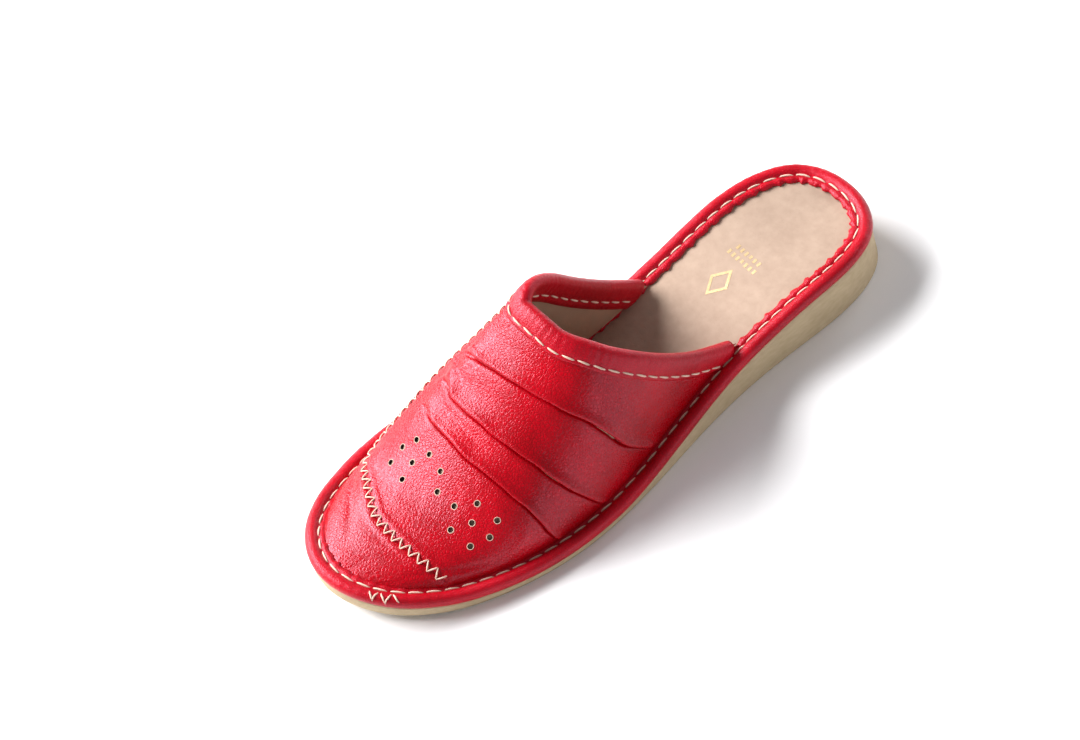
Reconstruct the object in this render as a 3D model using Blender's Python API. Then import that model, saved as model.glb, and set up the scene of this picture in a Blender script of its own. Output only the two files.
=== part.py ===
"""Left mule slipper, size 37: foam wedge sole, sock, rolled rand, hollow leather upper, bound collar.

Metres, +Z up. The toe points to +Y, the big-toe side to +X, and the slipper stands on its flat sole.
Every function below works in millimetres; add_body turns the result into metres.
"""
import functools

import bpy
import numpy as np

# Sizes that drive the form, in millimetres
LENGTH = 252.0
BALL_WIDTH = 91.0
HEEL_WIDTH = 61.5
HEEL_HEIGHT = 23.5
FOREFOOT_HEIGHT = 7.6
TOE_SPRING = 6.4
INSTEP_HEIGHT = 66.0
WALL = 2.0
TUCK_STEP = 1.5
SOCK_THICKNESS = 1.8
FEATHER_INSET = 6.8
GAP = 0.3

# Plan of the rolled edge: station as a share of LENGTH from the heel, the width the row scales
# with, and the reach to the big-toe side and to the little-toe side as shares of that width
PLAN = (
    (0.000, HEEL_WIDTH, -0.033, 0.033),
    (0.030, HEEL_WIDTH, 0.301, 0.374),
    (0.100, HEEL_WIDTH, 0.441, 0.507),
    (0.200, HEEL_WIDTH, 0.463, 0.535),
    (0.300, HEEL_WIDTH, 0.446, 0.546),
    (0.400, BALL_WIDTH, 0.296, 0.402),
    (0.500, BALL_WIDTH, 0.318, 0.458),
    (0.600, BALL_WIDTH, 0.392, 0.505),
    (0.700, BALL_WIDTH, 0.484, 0.512),
    (0.800, BALL_WIDTH, 0.488, 0.463),
    (0.900, BALL_WIDTH, 0.414, 0.353),
    (0.970, BALL_WIDTH, 0.267, 0.191),
    (1.000, BALL_WIDTH, 0.033, -0.033),
)

# Side view of the rolled edge: station, share of the rise from forefoot to heel, share of TOE_SPRING
# lifted off the floor
SIDE = (
    (0.000, 0.930, 0.00),
    (0.145, 1.000, 0.00),
    (0.300, 0.700, 0.00),
    (0.460, 0.250, 0.00),
    (0.620, 0.000, 0.00),
    (0.740, 0.000, 0.00),
    (0.860, 0.060, 0.10),
    (0.930, 0.120, 0.42),
    (1.000, 0.160, 1.00),
)

# Crest of the last: station, reach to the big-toe side as a share of BALL_WIDTH, height as a share of
# INSTEP_HEIGHT, fullness of the big-toe side and of the little-toe side (2 is a plain ellipse)
CREST = (
    (0.300, 0.045, 1.240, 2.70, 2.05),
    (0.420, 0.060, 1.190, 3.00, 2.05),
    (0.540, 0.100, 1.055, 2.95, 2.15),
    (0.640, 0.125, 0.805, 2.80, 2.10),
    (0.740, 0.125, 0.540, 2.40, 2.20),
    (0.840, 0.078, 0.335, 2.10, 2.20),
    (0.980, 0.020, 0.275, 2.10, 2.20),
)
NOSE_START = 0.757
NOSE_FULLNESS = 2.3

# Rows across the upper, as stations at nine places from the little-toe edge over the crest to the
# big-toe edge: the topline, the three tucks and the line where the toe cap begins
ACROSS = (-1.00, -0.80, -0.60, -0.40, -0.20, 0.00, 0.25, 0.60, 1.00)
TOPLINE = (0.307, 0.402, 0.472, 0.525, 0.556, 0.560, 0.540, 0.470, 0.331)
REAR_TUCK = (0.498, 0.554, 0.584, 0.615, 0.632, 0.645, 0.648, 0.628, 0.560)
MID_TUCK = (0.614, 0.648, 0.671, 0.689, 0.700, 0.701, 0.690, 0.665, 0.625)
FRONT_TUCK = (0.702, 0.715, 0.725, 0.734, 0.742, 0.742, 0.730, 0.715, 0.705)
CAP_LINE = (0.780, 0.790, 0.800, 0.810, 0.815, 0.815, 0.808, 0.795, 0.780)
TUCK_END = 0.26

# Section of the rolled rand: inset from the outline, height over its top, both in millimetres
RAND_SECTION = (
    (1.30, -4.70), (0.30, -3.90), (0.00, -2.60), (0.30, -1.20), (1.20, -0.35), (2.50, 0.00),
    (4.00, -0.30), (5.40, -1.45), (6.20, -1.30), (8.20, -1.70), (8.20, -2.60), (2.75, -2.60),
    (2.75, -4.70),
)

FOAM_TOP = -5.1
SOCK_TOP = -2.9
COLLAR_OUTSIDE = 8.0
COLLAR_INSIDE = 10.0
COLLAR_LEATHER = 1.2


def along(table, column, station):
    """Value of one column of a table at the given stations, on a smooth curve through the rows."""
    rows = np.array(table, float)
    x = rows[:, 0]
    y = rows[:, column]
    step = np.diff(x)
    slope = np.diff(y) / step
    middle = 2.0 * slope[:-1] * slope[1:] / (slope[:-1] + slope[1:] + 1e-12)
    middle = np.where(slope[:-1] * slope[1:] > 0.0, middle, 0.0)
    bend = np.concatenate(([slope[0]], middle, [slope[-1]]))
    s = np.clip(station, x[0], x[-1])
    i = np.clip(np.searchsorted(x, s) - 1, 0, len(x) - 2)
    h = step[i]
    t = (s - x[i]) / h
    return (y[i] * (1 + 2 * t) * (1 - t) ** 2 + y[i + 1] * t * t * (3 - 2 * t)
            + h * bend[i] * t * (1 - t) ** 2 - h * bend[i + 1] * t * t * (1 - t))


def closed_outline(count=1200):
    """Rolled edge in plan, as a closed cubic through the plan rows, with outward normals."""
    rows = np.array(PLAN, float)
    y = (rows[:, 0] - 0.5) * LENGTH
    inner = np.column_stack((rows[:, 1] * rows[:, 2], y))
    outer = np.column_stack((-rows[:, 1] * rows[:, 3], y))[1:-1][::-1]
    points = np.vstack((inner, outer))
    n = len(points)
    chord = np.linalg.norm(np.roll(points, -1, axis=0) - points, axis=1)
    before = np.roll(chord, 1)
    system = np.zeros((n, n))
    k = np.arange(n)
    system[k, k] = 2.0 * (before + chord)
    system[k, (k - 1) % n] = chord
    system[k, (k + 1) % n] = before
    forward = (np.roll(points, -1, axis=0) - points) / chord[:, None]
    right = 3.0 * (chord[:, None] * np.roll(forward, 1, axis=0) + before[:, None] * forward)
    tangent = np.linalg.solve(system, right)
    knots = np.concatenate(([0.0], np.cumsum(chord)))
    s = np.linspace(0.0, knots[-1], count, endpoint=False)
    i = np.clip(np.searchsorted(knots, s, side="right") - 1, 0, n - 1)
    h = chord[i][:, None]
    t = ((s - knots[i]) / chord[i])[:, None]
    j = (i + 1) % n
    curve = (points[i] * (1 + 2 * t) * (1 - t) ** 2 + points[j] * t * t * (3 - 2 * t)
             + h * tangent[i] * t * (1 - t) ** 2 - h * tangent[j] * t * t * (1 - t))
    ahead = np.roll(curve, -1, axis=0) - np.roll(curve, 1, axis=0)
    normal = np.column_stack((ahead[:, 1], -ahead[:, 0]))
    normal /= np.linalg.norm(normal, axis=1)[:, None]
    return curve, normal


OUTLINE, OUTWARD = closed_outline()


@functools.lru_cache(maxsize=None)
def inset_branches(inset):
    """Both sides of the outline moved inward: end stations, and x against the angle round each side."""
    loop = OUTLINE - OUTWARD * inset
    low = loop[:, 1].min()
    high = loop[:, 1].max()
    angle = np.arccos(np.clip(1.0 - 2.0 * (loop[:, 1] - low) / (high - low), -1.0, 1.0))
    heel = loop[:, 1].argmin()
    loop = np.roll(loop, -heel, axis=0)
    angle = np.roll(angle, -heel)
    toe = loop[:, 1].argmax()
    inner = (angle[:toe + 1], loop[:toe + 1, 0])
    outer = (np.append(angle[toe:], 0.0)[::-1], np.append(loop[toe:, 0], loop[0, 0])[::-1])
    return low, high, inner, outer


def sides(inset, y):
    """Reach of the inset outline at y, on the big-toe side and on the little-toe side."""
    low, high, inner, outer = inset_branches(inset)
    angle = np.arccos(np.clip(1.0 - 2.0 * (y - low) / (high - low), -1.0, 1.0))
    return np.interp(angle, *inner), np.interp(angle, *outer)


def station(y):
    """Share of LENGTH from the heel."""
    return y / LENGTH + 0.5


def lift(y):
    """Height of the sole's lower edge off the floor."""
    return TOE_SPRING * along(SIDE, 2, station(y))


def rand_top(y):
    """Height of the rolled edge over the floor."""
    rise = HEEL_HEIGHT - FOREFOOT_HEIGHT
    return FOREFOOT_HEIGHT + rise * along(SIDE, 1, station(y)) + lift(y)


def last(across, y, inward=0.0):
    """Point on the last: across runs from -1 at the little-toe edge over 0 at the crest to +1."""
    low, high, _, _ = inset_branches(FEATHER_INSET + inward)
    s = station(y)
    inner, outer = sides(FEATHER_INSET + inward, y)
    foot = rand_top(y) + RAND_SECTION[9][1] + GAP + 0.4
    nose = np.clip((s - NOSE_START) / (station(high) - NOSE_START), 0.0, 1.0)
    crest = INSTEP_HEIGHT * along(CREST, 2, s) - inward
    rise = (crest - foot) * (1.0 - nose ** NOSE_FULLNESS) ** (1.0 / NOSE_FULLNESS)
    ridge = BALL_WIDTH * along(CREST, 1, s)
    ridge = ridge + (0.5 * (inner + outer) - ridge) * nose ** 2
    full = np.where(across > 0.0, along(CREST, 3, s), along(CREST, 4, s))
    edge = np.where(across > 0.0, inner, outer)
    angle = 0.5 * np.pi * (1.0 - np.clip(np.abs(across), 1e-6, 1.0))
    reach = (np.cos(angle) ** full + np.sin(angle) ** full) ** (-1.0 / full)
    x = ridge + (edge - ridge) * reach * np.cos(angle)
    z = foot + rise * reach * np.sin(angle)
    return np.stack(np.broadcast_arrays(x, y, z), axis=-1)


def row_at(row, across):
    """Y of a row across the upper."""
    return (along(tuple(zip(ACROSS, row)), 1, across) - 0.5) * LENGTH


def outward_of(points):
    """Unit normals of a grid of points whose rows run across and whose columns run to the toe."""
    u = np.gradient(points, axis=1)
    v = np.gradient(points, axis=0)
    normal = np.cross(u, v)
    length = np.linalg.norm(normal, axis=-1, keepdims=True)
    normal = normal / np.maximum(length, 1e-9)
    return normal * np.sign((normal[..., 2] + 1e-9).sum())


def add_body(name, vertices, faces, material):
    """One mesh object from points in millimetres, its faces turned outward."""
    mesh = bpy.data.meshes.new(name)
    mesh.from_pydata((np.asarray(vertices, float) * 0.001).tolist(), [], [list(face) for face in faces])
    mesh.validate()
    thing = bpy.data.objects.new(name, mesh)
    bpy.context.scene.collection.objects.link(thing)
    mesh.materials.append(material)
    volume = 0.0
    mesh.calc_loop_triangles()
    corners = np.array([v.co for v in mesh.vertices])
    index = np.array([t.vertices for t in mesh.loop_triangles])
    a, b, c = corners[index[:, 0]], corners[index[:, 1]], corners[index[:, 2]]
    volume = np.einsum("ij,ij->i", a, np.cross(b, c)).sum()
    if volume < 0.0:
        mesh.flip_normals()
    return thing


def grid_faces(rows, columns, start=0, closed=False):
    """Quads of a grid of points stored row by row."""
    faces = []
    last_column = columns if closed else columns - 1
    for r in range(rows - 1):
        for c in range(last_column):
            d = (c + 1) % columns
            a = start + r * columns
            b = a + columns
            faces.append((a + c, a + d, b + d, b + c))
    return faces


def slab(name, inset, top, bottom, material, flare=0.0, rows=50, columns=7):
    """Solid between two surfaces over the inset outline, drawn on rows from heel to toe."""
    low, high, _, _ = inset_branches(inset)
    middle = 0.5 * (low + high)
    half = 0.5 * (high - low)
    y = middle - half * np.cos(np.linspace(0.0, np.pi, rows))[1:-1]
    inner, outer = sides(inset, y)
    t = 0.5 - 0.5 * np.cos(np.linspace(0.0, np.pi, columns))
    x = outer[:, None] + (inner - outer)[:, None] * t
    tip = [0.5 * sum(sides(inset, np.array([end]))) for end in (low, high)]
    upper = [(tip[0][0], low, top(np.array([low]))[0])]
    lower = [(tip[0][0], low, bottom(np.array([low]))[0])]
    for r in range(len(y)):
        upper += [(v, y[r], top(y[r:r + 1])[0]) for v in x[r]]
        lower += [(v, y[r], bottom(y[r:r + 1])[0]) for v in x[r]]
    upper.append((tip[1][0], high, top(np.array([high]))[0]))
    lower.append((tip[1][0], high, bottom(np.array([high]))[0]))
    if flare:
        centre = np.array(lower)[:, :2].mean(axis=0)
        spread = np.array(lower)
        edge = np.zeros(len(spread), bool)
        edge[[0, -1]] = True
        for r in range(len(y)):
            edge[[1 + r * columns, (r + 1) * columns]] = True
        away = spread[:, :2] - np.array([centre[0], 0.0])
        away[:, 1] = np.where(spread[:, 1] < low + 30.0, spread[:, 1] - (low + 30.0),
                              np.where(spread[:, 1] > high - 42.0, spread[:, 1] - (high - 42.0), 0.0))
        away /= np.maximum(np.linalg.norm(away, axis=1), 1e-6)[:, None]
        share = np.clip((40.0 - spread[:, 1]) / 120.0, 0.15, 1.0)
        spread[edge, :2] += (away * (flare * share)[:, None])[edge]
        lower = [tuple(p) for p in spread]
    count = len(upper)
    m = len(y)
    faces = []
    for base, turn in ((0, 1), (count, -1)):
        ring = [base] + [base + count - 1]
        cap = [(ring[0], base + 1 + c + 1, base + 1 + c) for c in range(columns - 1)]
        end = base + 1 + (m - 1) * columns
        cap += [(ring[1], end + c, end + c + 1) for c in range(columns - 1)]
        cap += grid_faces(m, columns, base + 1)
        faces += [face[::turn] for face in cap]
    rim = [0] + [1 + r * columns for r in range(m)] + [count - 1]
    rim += [(r + 1) * columns for r in range(m)][::-1]
    for k, a in enumerate(rim):
        b = rim[(k + 1) % len(rim)]
        faces.append((a, b, b + count, a + count))
    return add_body(name, upper + lower, faces, material)


def rolled_rand(material, count=116):
    """Rand swept round the outline: each section stands square to the edge and follows its height."""
    k = np.linspace(0, len(OUTLINE), count, endpoint=False).astype(int)
    section = np.array(RAND_SECTION)
    points = []
    for i in k:
        for inset, drop in section:
            x, y = OUTLINE[i] - OUTWARD[i] * inset
            points.append((x, y, rand_top(np.array([y]))[0] + drop))
    size = len(section)
    faces = grid_faces(count, size, closed=True)
    end = (count - 1) * size
    faces += [(end + c, end + (c + 1) % size, (c + 1) % size, c) for c in range(size)]
    return add_body("rand", points, faces, material)


def upper_grid(across, inward=0.0):
    """Grid of the upper: rows from topline to nose, with two rows a lip apart at each tuck."""
    low, high, _, _ = inset_branches(FEATHER_INSET + inward)
    lip = 0.5
    rows = []
    steps = []
    tucks = (REAR_TUCK, MID_TUCK, FRONT_TUCK)
    top = row_at(TOPLINE, across)
    previous = top
    spans = (6, 3, 3)
    for tuck, span in zip(tucks, spans):
        line = row_at(tuck, across)
        for s in np.arange(span) / span:
            rows.append(previous + (line - lip - previous) * s)
            steps.append(s)
        rows.append(line - lip)
        steps.append(1.0)
        previous = line + lip
    cap = row_at(CAP_LINE, across)
    for s in (0.0, 0.5):
        rows.append(previous + (cap - previous) * s)
        steps.append(0.0)
    for s in np.sin(np.linspace(0.0, 0.5 * np.pi, 11)):
        rows.append(cap + (high - cap) * s)
        steps.append(0.0)
    y = np.array(rows)
    return last(np.broadcast_to(across, y.shape), y, inward), np.array(steps)


def hollow_upper(material, columns=41):
    """Upper as one wall: outside with a step down toward the toe at each tuck, plain inside."""
    t = np.linspace(-1.0, 1.0, columns)
    across = np.sign(t) * (1.0 - (1.0 - np.abs(t)) ** 1.15)
    outside, steps = upper_grid(across)
    inside, _ = upper_grid(across, WALL)
    normal = outward_of(outside)
    fade = np.clip((TUCK_END - across) / 0.15, 0.0, 1.0) * np.clip((across + 1.0) / 0.06, 0.0, 1.0)
    rise = (steps ** 3)[:, None] * fade[None, :] * TUCK_STEP
    outside = outside + normal * rise[..., None]
    rows = len(steps)
    outer = outside[:-1].reshape(-1, 3)
    inner = inside[:-1].reshape(-1, 3)
    count = len(outer)
    points = np.vstack((outer, inner, outside[-1:, columns // 2], inside[-1:, columns // 2]))
    nose, hollow = 2 * count, 2 * count + 1
    faces = grid_faces(rows - 1, columns)
    faces += [face[::-1] for face in grid_faces(rows - 1, columns, count)]
    tail = (rows - 2) * columns
    faces += [(tail + c, tail + c + 1, nose) for c in range(columns - 1)]
    faces += [(count + tail + c + 1, count + tail + c, hollow) for c in range(columns - 1)]
    faces += [(c + 1, c, count + c, count + c + 1) for c in range(columns - 1)]
    for r in range(rows - 2):
        a = r * columns
        b = a + columns
        faces.append((a, b, count + b, count + a))
        a += columns - 1
        b += columns - 1
        faces.append((b, a, count + a, count + b))
    faces.append((tail, nose, hollow, count + tail))
    faces.append((nose, tail + columns - 1, count + tail + columns - 1, hollow))
    return add_body("upper", points, faces, material)


def collar_binding(material, count=44):
    """Strip folded over the topline: down the outside, over the edge and down the lining side."""
    across = np.linspace(-0.96, 0.96, count)
    reach = COLLAR_OUTSIDE
    inner_reach = COLLAR_INSIDE
    lift_off = GAP + 0.45
    skin = COLLAR_LEATHER
    section = (
        (reach, lift_off), (reach * 0.5, lift_off), (-GAP, lift_off), (-GAP - 0.1, -WALL * 0.5),
        (-GAP, -WALL - GAP), (inner_reach * 0.5, -WALL - GAP), (inner_reach, -WALL - GAP),
        (inner_reach, -WALL - GAP - skin), (inner_reach * 0.5, -WALL - GAP - skin),
        (0.0, -WALL - GAP - skin), (-1.2, -WALL * 0.5 - 1.6), (-1.8, -WALL * 0.5),
        (-1.3, lift_off + skin * 0.7), (0.2, lift_off + skin + 0.2),
        (reach * 0.5, lift_off + skin + 0.3), (reach * 0.92, lift_off + skin),
    )
    points = []
    for a in across:
        edge = topline_frame(a)
        for down, out in section:
            points.append(edge(down, out))
    size = len(section)
    faces = grid_faces(count, size, closed=True)
    faces.append(tuple(range(size))[::-1])
    end = (count - 1) * size
    faces.append(tuple(range(end, end + size)))
    return add_body("collar_binding", points, faces, material)


def topline_frame(a):
    """Function that places a point a given way down the upper and off it, square to the topline."""
    def on_last(across, y, inward=0.0):
        return last(np.array([across]), np.array([y]), inward)[0]

    def topline_point(across):
        return on_last(across, row_at(TOPLINE, np.array([across]))[0])

    def slopes(across, y):
        by_across = (on_last(across + 0.005, y) - on_last(across - 0.005, y)) / 0.01
        by_y = (on_last(across, y + 0.25) - on_last(across, y - 0.25)) / 0.5
        return by_across, by_y

    tangent = topline_point(a + 0.01) - topline_point(a - 0.01)
    tangent /= np.linalg.norm(tangent)
    stride = 0.5
    where = np.array([a, row_at(TOPLINE, np.array([a]))[0]])
    trail = [where]
    for _ in range(int(COLLAR_INSIDE / stride) + 1):
        by_across, by_y = slopes(*where)
        normal = np.cross(by_across, by_y)
        square = np.cross(normal, tangent)
        square /= np.linalg.norm(square) * (1.0 if square @ by_y > 0.0 else -1.0)
        move = np.linalg.lstsq(np.column_stack((by_across, by_y)), square * stride, rcond=None)[0]
        where = where + move
        where[0] = np.clip(where[0], -0.99, 0.99)
        trail.append(where)
    trail = np.array(trail)

    def place(down, out):
        k = max(down, 0.0) / stride
        across, y = (np.interp(k, np.arange(len(trail)), trail[:, c]) for c in (0, 1))
        by_across, by_y = slopes(across, y)
        normal = np.cross(by_across, by_y)
        normal /= np.linalg.norm(normal)
        square = np.cross(normal, tangent)
        square *= 1.0 if square @ by_y > 0.0 else -1.0
        through = np.clip(-out / WALL, 0.0, 1.0)
        outside = on_last(across, y)
        inside = on_last(across, y, WALL)
        point = outside + (inside - outside) * through + square * min(down, 0.0)
        return point + normal * (out + WALL * through)

    return place


def material(name, colour):
    """Plain material that names a slot."""
    item = bpy.data.materials.new(name)
    item.diffuse_color = (*colour, 1.0)
    item.use_nodes = True
    item.node_tree.nodes["Principled BSDF"].inputs["Base Color"].default_value = (*colour, 1.0)
    return item


for thing in list(bpy.data.objects):
    bpy.data.objects.remove(thing, do_unlink=True)

red = material("red_leather", (0.55, 0.0, 0.02))
binding = material("binding_leather", (0.50, 0.0, 0.02))
suede = material("sock_leather", (0.62, 0.44, 0.33))
foam = material("sole_foam", (0.62, 0.48, 0.31))

slab("outsole", 0.8, lambda y: rand_top(y) + FOAM_TOP, lift, foam, flare=1.4)
slab("insole", 3.5, lambda y: rand_top(y) + SOCK_TOP, lambda y: rand_top(y) + SOCK_TOP - SOCK_THICKNESS, suede)
rolled_rand(binding)
hollow_upper(red)
collar_binding(binding)
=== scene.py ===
import bpy
import numpy as np
from mathutils import Matrix, Vector


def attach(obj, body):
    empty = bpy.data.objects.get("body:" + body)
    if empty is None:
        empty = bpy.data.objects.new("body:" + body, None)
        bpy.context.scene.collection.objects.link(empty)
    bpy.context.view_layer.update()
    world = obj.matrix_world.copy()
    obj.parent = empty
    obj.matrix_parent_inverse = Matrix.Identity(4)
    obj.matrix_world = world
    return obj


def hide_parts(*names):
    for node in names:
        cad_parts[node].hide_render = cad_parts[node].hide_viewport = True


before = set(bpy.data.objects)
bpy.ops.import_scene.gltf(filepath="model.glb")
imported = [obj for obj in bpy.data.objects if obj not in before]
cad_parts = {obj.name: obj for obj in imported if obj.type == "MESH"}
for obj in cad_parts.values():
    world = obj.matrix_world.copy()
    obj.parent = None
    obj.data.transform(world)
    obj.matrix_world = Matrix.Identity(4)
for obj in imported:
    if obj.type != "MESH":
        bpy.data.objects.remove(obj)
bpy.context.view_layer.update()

# The slipper's own sizes, in millimetres, as in the frame
LENGTH = 252.0
BALL_WIDTH = 91.0
HEEL_WIDTH = 61.5
HEEL_HEIGHT = 23.5
FOREFOOT_HEIGHT = 7.6
TOE_SPRING = 6.4
INSTEP_HEIGHT = 66.0
WALL = 2.0
FEATHER_INSET = 6.8
FEATHER_DROP = 1.4
LINING_DEPTH = 1.4
SOCK_INSET = 6.4
SOCK_DROP = 2.75
SOCK_DIP = 0.9
FOAM_DROP = 5.05
HALF_GIRTH = 52.0

# Plan of the rolled edge: station, width the row scales with, reach to the big-toe side and to the
# little-toe side
PLAN = (
    (0.000, HEEL_WIDTH, -0.033, 0.033),
    (0.030, HEEL_WIDTH, 0.301, 0.374),
    (0.100, HEEL_WIDTH, 0.441, 0.507),
    (0.200, HEEL_WIDTH, 0.463, 0.535),
    (0.300, HEEL_WIDTH, 0.446, 0.546),
    (0.400, BALL_WIDTH, 0.296, 0.402),
    (0.500, BALL_WIDTH, 0.318, 0.458),
    (0.600, BALL_WIDTH, 0.392, 0.505),
    (0.700, BALL_WIDTH, 0.484, 0.512),
    (0.800, BALL_WIDTH, 0.488, 0.463),
    (0.900, BALL_WIDTH, 0.414, 0.353),
    (0.970, BALL_WIDTH, 0.267, 0.191),
    (1.000, BALL_WIDTH, 0.033, -0.033),
)

# Side view of the rolled edge: station, share of the rise to the heel, share of the toe spring
SIDE = (
    (0.000, 0.930, 0.00),
    (0.145, 1.000, 0.00),
    (0.300, 0.700, 0.00),
    (0.460, 0.250, 0.00),
    (0.620, 0.000, 0.00),
    (0.740, 0.000, 0.00),
    (0.860, 0.060, 0.10),
    (0.930, 0.120, 0.42),
    (1.000, 0.160, 1.00),
)

# Crest of the last: station, reach to the big-toe side, height, fullness of each side
CREST = (
    (0.300, 0.045, 1.240, 2.70, 2.05),
    (0.420, 0.060, 1.190, 3.00, 2.05),
    (0.540, 0.100, 1.055, 2.95, 2.15),
    (0.640, 0.125, 0.805, 2.80, 2.10),
    (0.740, 0.125, 0.540, 2.40, 2.20),
    (0.840, 0.078, 0.335, 2.10, 2.20),
    (0.980, 0.020, 0.275, 2.10, 2.20),
)
NOSE_START = 0.757
NOSE_FULLNESS = 2.3

# Rows across the upper as stations, from the little-toe edge over the crest to the big-toe edge
ACROSS = (-1.00, -0.80, -0.60, -0.40, -0.20, 0.00, 0.25, 0.60, 1.00)
TOPLINE = (0.307, 0.402, 0.472, 0.525, 0.556, 0.560, 0.540, 0.470, 0.331)
REAR_TUCK = (0.498, 0.554, 0.584, 0.615, 0.632, 0.645, 0.648, 0.628, 0.560)
MID_TUCK = (0.614, 0.648, 0.671, 0.689, 0.700, 0.701, 0.690, 0.665, 0.625)
FRONT_TUCK = (0.702, 0.715, 0.725, 0.734, 0.742, 0.742, 0.730, 0.715, 0.705)

# Section of a tuck: way past its line towards the toe, height over the last, in millimetres
TUCK_SECTION = (
    (-4.0, 0.55), (-2.6, 0.95), (-1.6, 1.45), (-0.9, 1.95), (-0.3, 2.20), (0.20, 2.00), (0.45, 1.50),
    (0.42, 0.90), (0.10, 0.30), (-0.20, -0.40), (0.10, -1.15), (0.70, -1.10), (1.05, -0.30), (1.7, 0.25),
    (3.2, 0.20),
)

# Place of each punched hole on the upper: across, station
HOLES = (
    (0.135, 0.772), (0.235, 0.790), (-0.035, 0.775), (0.270, 0.815), (0.060, 0.796), (-0.140, 0.779),
    (0.070, 0.821), (-0.190, 0.801), (-0.320, 0.798), (-0.410, 0.773), (-0.395, 0.822), (-0.460, 0.795),
    (-0.565, 0.767), (-0.620, 0.788), (-0.580, 0.816),
)
HOLE_RADIUS = 1.19
HOLE_REACH = 2

# Cut edge of a hole: share of its radius, height along its axis; the last ring is closed by a floor. The
# two lowest bands and the floor take a near-black painted shade.
HOLE_WALL = ((1.16, -0.05), (1.08, 0.09), (0.90, 0.05), (0.80, -0.25), (0.80, -1.3))

# Line of the seam between the two panels: across, station
SEAM = (
    (0.30, 0.562), (0.40, 0.620), (0.44, 0.660), (0.47, 0.700), (0.49, 0.735), (0.565, 0.768),
    (0.680, 0.800), (0.590, 0.833), (0.390, 0.855), (0.240, 0.869), (0.080, 0.883), (-0.120, 0.886),
    (-0.250, 0.886), (-0.460, 0.881), (-0.640, 0.876), (-0.820, 0.872),
)

# Creases: across and station of both ends, half width and height in millimetres
CREASES = (
    (0.10, 0.690, 0.36, 0.668, 1.6, 0.45),
    (0.16, 0.675, 0.40, 0.650, 1.4, -0.35),
    (0.12, 0.655, 0.34, 0.700, 1.5, 0.35),
    (-0.05, 0.665, 0.30, 0.672, 2.2, 0.30),
    (-0.10, 0.618, 0.30, 0.600, 3.0, -0.35),
    (0.80, 0.745, 0.62, 0.860, 3.2, -0.80),
    (0.62, 0.860, 0.20, 0.925, 3.0, -0.55),
    (0.55, 0.800, 0.46, 0.850, 5.0, 0.55),
    (-0.90, 0.770, -0.60, 0.905, 2.6, -0.45),
    (-0.78, 0.600, -0.62, 0.560, 5.0, -0.50),
    (-0.70, 0.680, -0.45, 0.655, 4.0, -0.40),
    (0.05, 0.745, 0.24, 0.780, 2.0, 0.25),
    (-0.72, 0.735, -0.86, 0.765, 2.0, 0.30),
    (-0.30, 0.900, 0.10, 0.930, 4.0, 0.35),
)


def along(table, column, where):
    """Value of one column of a table at the given stations, on a smooth curve through the rows."""
    rows = np.array(table, float)
    x = rows[:, 0]
    y = rows[:, column]
    step = np.diff(x)
    slope = np.diff(y) / step
    middle = 2.0 * slope[:-1] * slope[1:] / (slope[:-1] + slope[1:] + 1e-12)
    middle = np.where(slope[:-1] * slope[1:] > 0.0, middle, 0.0)
    bend = np.concatenate(([slope[0]], middle, [slope[-1]]))
    s = np.clip(where, x[0], x[-1])
    i = np.clip(np.searchsorted(x, s) - 1, 0, len(x) - 2)
    h = step[i]
    t = (s - x[i]) / h
    return (y[i] * (1 + 2 * t) * (1 - t) ** 2 + y[i + 1] * t * t * (3 - 2 * t)
            + h * bend[i] * t * (1 - t) ** 2 - h * bend[i + 1] * t * t * (1 - t))


def closed_outline(count=2400):
    """Rolled edge in plan, as a closed cubic through the plan rows, with outward normals."""
    rows = np.array(PLAN, float)
    y = (rows[:, 0] - 0.5) * LENGTH
    inner = np.column_stack((rows[:, 1] * rows[:, 2], y))
    outer = np.column_stack((-rows[:, 1] * rows[:, 3], y))[1:-1][::-1]
    points = np.vstack((inner, outer))
    n = len(points)
    chord = np.linalg.norm(np.roll(points, -1, axis=0) - points, axis=1)
    before = np.roll(chord, 1)
    system = np.zeros((n, n))
    k = np.arange(n)
    system[k, k] = 2.0 * (before + chord)
    system[k, (k - 1) % n] = chord
    system[k, (k + 1) % n] = before
    forward = (np.roll(points, -1, axis=0) - points) / chord[:, None]
    right = 3.0 * (chord[:, None] * np.roll(forward, 1, axis=0) + before[:, None] * forward)
    tangent = np.linalg.solve(system, right)
    knots = np.concatenate(([0.0], np.cumsum(chord)))
    s = np.linspace(0.0, knots[-1], count, endpoint=False)
    i = np.clip(np.searchsorted(knots, s, side="right") - 1, 0, n - 1)
    h = chord[i][:, None]
    t = ((s - knots[i]) / chord[i])[:, None]
    j = (i + 1) % n
    curve = (points[i] * (1 + 2 * t) * (1 - t) ** 2 + points[j] * t * t * (3 - 2 * t)
             + h * tangent[i] * t * (1 - t) ** 2 - h * tangent[j] * t * t * (1 - t))
    ahead = np.roll(curve, -1, axis=0) - np.roll(curve, 1, axis=0)
    normal = np.column_stack((ahead[:, 1], -ahead[:, 0]))
    normal /= np.linalg.norm(normal, axis=1)[:, None]
    return curve, normal


OUTLINE, OUTWARD = closed_outline()


def inset_branches(inset):
    """Both sides of the outline moved inward: end stations, and x against the angle round each side."""
    loop = OUTLINE - OUTWARD * inset
    low = loop[:, 1].min()
    high = loop[:, 1].max()
    angle = np.arccos(np.clip(1.0 - 2.0 * (loop[:, 1] - low) / (high - low), -1.0, 1.0))
    heel = loop[:, 1].argmin()
    loop = np.roll(loop, -heel, axis=0)
    angle = np.roll(angle, -heel)
    toe = loop[:, 1].argmax()
    inner = (angle[:toe + 1], loop[:toe + 1, 0])
    outer = (np.append(angle[toe:], 0.0)[::-1], np.append(loop[toe:, 0], loop[0, 0])[::-1])
    return low, high, inner, outer


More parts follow.
